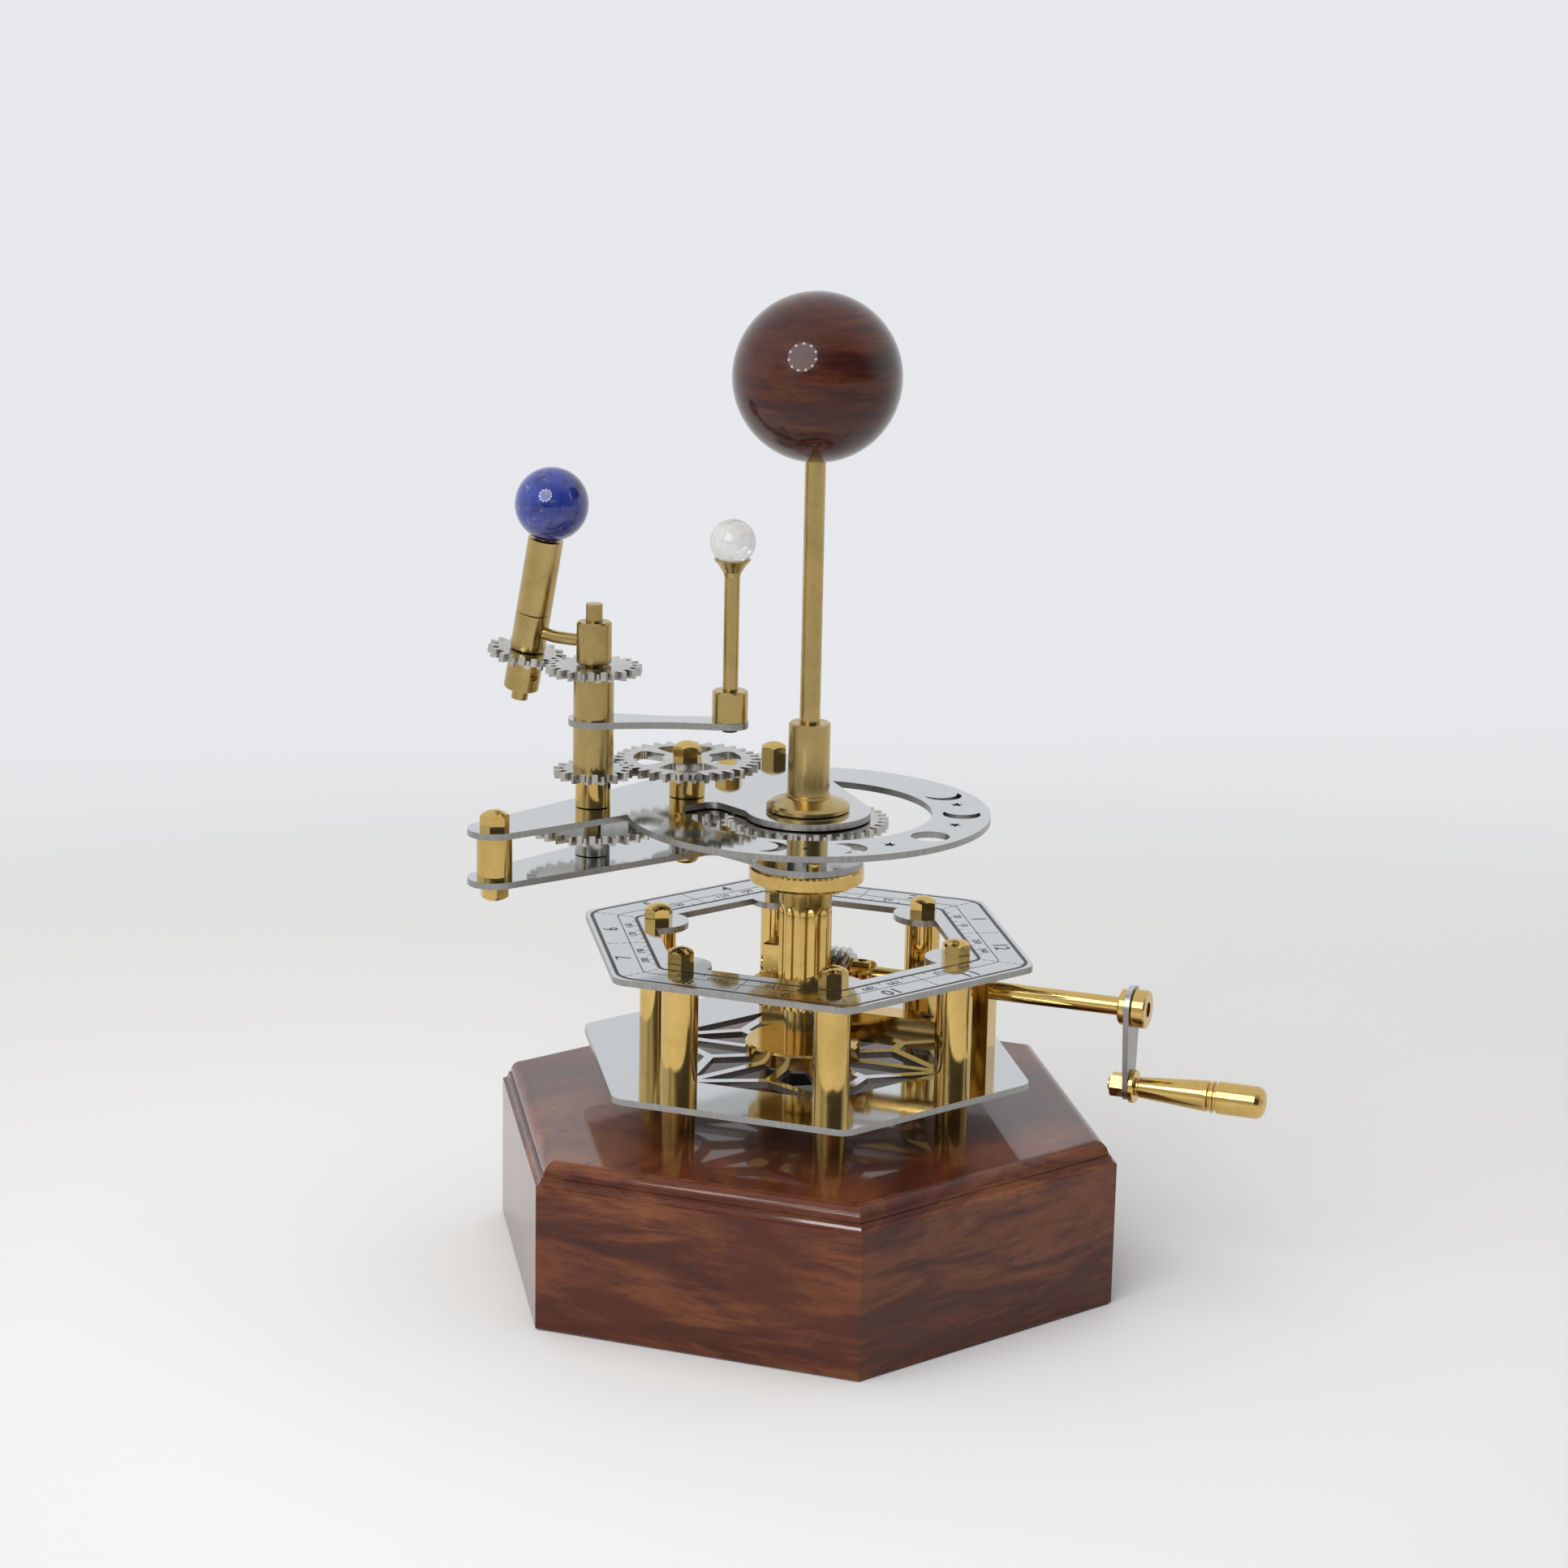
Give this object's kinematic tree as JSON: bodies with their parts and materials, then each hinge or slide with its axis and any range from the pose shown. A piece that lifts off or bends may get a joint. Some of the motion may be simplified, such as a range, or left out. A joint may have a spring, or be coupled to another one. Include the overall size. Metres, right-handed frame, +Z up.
{
  "type": "tabletop orrery",
  "caption": "Hand-cranked model of Sun, Earth and Moon: a worm turns a geared arm on a column, over hexagonal plates on a wooden base.",
  "frame": {"origin": "centre of the base's underside, on the axis that the arm turns about", "axes": "+Z up along the column; the base's corners point to 30, 90, 150, 210, 270 and 330 degrees from +X; the crank leaves towards 330 degrees"},
  "size_m": [0.2691, 0.228, 0.3389],
  "materials": {
    "base_wood": "dark red-brown gloss lacquer",
    "sun_wood": "very dark red-brown, polished",
    "plate_steel": "polished steel sheet",
    "gear_steel": "polished gear metal",
    "dark_steel": "blackened steel",
    "brass": "turned and polished brass",
    "earth_stone": "polished blue stone with pale flecks",
    "moon_quartz": "clear to frosty polished crystal"
  },
  "bodies": {
    "stand": {"wood_base": "base_wood", "tie_rods": "dark_steel", "clamp_nuts": "dark_steel", "foot_spacers": "brass", "lower_plate": "plate_steel", "pillars": "brass", "upper_plate": "plate_steel", "pillar_nuts": "brass", "centre_boss": "brass", "centre_post": "brass", "bracket_bar": "brass", "bracket_screws": "dark_steel", "bearing_posts": "brass", "sun_gear": "gear_steel", "sun_socket": "brass", "sun_rod": "brass", "sun_ball": "sun_wood"},
    "arm": {"worm_wheel": "brass", "column": "brass", "column_collar": "brass", "lower_arm": "plate_steel", "moon_ring_arm": "plate_steel", "arm_spacers": "brass", "arm_studs": "dark_steel", "arm_fasteners": "brass", "arm_bushes": "brass"},
    "idler": {"spoked_gear": "gear_steel", "idler_shaft": "brass", "idler_high_gear": "gear_steel", "idler_low_gear": "gear_steel", "idler_washer": "brass", "idler_hub": "brass", "idler_fasteners": "brass"},
    "earth_carrier": {"spindle": "brass", "earth_wheel": "gear_steel", "spindle_collar": "brass", "tilt_rod": "brass", "tilt_sleeve": "brass"},
    "moon": {"moon_hub": "brass", "moon_screws": "dark_steel", "moon_gear": "gear_steel", "moon_tubes": "brass", "moon_arm": "plate_steel", "drive_gear": "gear_steel", "moon_base": "brass", "moon_stem": "brass", "moon_ball": "moon_quartz"},
    "earth": {"earth_pinion": "gear_steel", "earth_stem": "brass", "earth_hub": "brass", "earth_tube": "brass", "earth_ball": "earth_stone"},
    "crank": {"crank_shaft": "brass", "worm": "gear_steel", "worm_collar": "brass", "crank_washers": "brass", "crank_strip": "plate_steel", "crank_nuts": "brass", "handle_pin": "brass"},
    "grip": {"crank_grip": "brass"}
  },
  "joints": [
    {"name": "arm_turn", "type": "hinge", "parent": "stand", "child": "arm", "pos_m": [0, 0, 0.09805], "axis": [0, 0, 1], "continuous": true},
    {"name": "idler_turn", "type": "hinge", "parent": "arm", "child": "idler", "pos_m": [-0.03838, 0.02349, 0.158], "axis": [0, 0, 1], "continuous": true},
    {"name": "earth_carrier_turn", "type": "hinge", "parent": "arm", "child": "earth_carrier", "pos_m": [-0.0725, 0.012, 0.155], "axis": [0, 0, 1], "continuous": true},
    {"name": "moon_turn", "type": "hinge", "parent": "arm", "child": "moon", "pos_m": [-0.0725, 0.012, 0.174], "axis": [0, 0, 1], "continuous": true},
    {"name": "earth_spin", "type": "hinge", "parent": "earth_carrier", "child": "earth", "pos_m": [-0.09362, 0.0285, 0.21209], "axis": [0.1436, -0.1122, 0.9833], "continuous": true},
    {"name": "crank_turn", "type": "hinge", "parent": "stand", "child": "crank", "pos_m": [0.0128, 0.02217, 0.09805], "axis": [0.866, -0.5, 0], "continuous": true},
    {"name": "grip_spin", "type": "hinge", "parent": "crank", "child": "grip", "pos_m": [0.0128, 0.02217, 0.07005], "axis": [0.866, -0.5, 0], "continuous": true}
  ],
  "couplings": [
    {"joint": "idler_turn", "follows": "arm_turn", "ratio": 1.4},
    {"joint": "earth_carrier_turn", "follows": "arm_turn", "ratio": -1},
    {"joint": "moon_turn", "follows": "arm_turn", "ratio": -2.8},
    {"joint": "earth_spin", "follows": "arm_turn", "ratio": 2.25},
    {"joint": "crank_turn", "follows": "arm_turn", "ratio": 44}
  ]
}
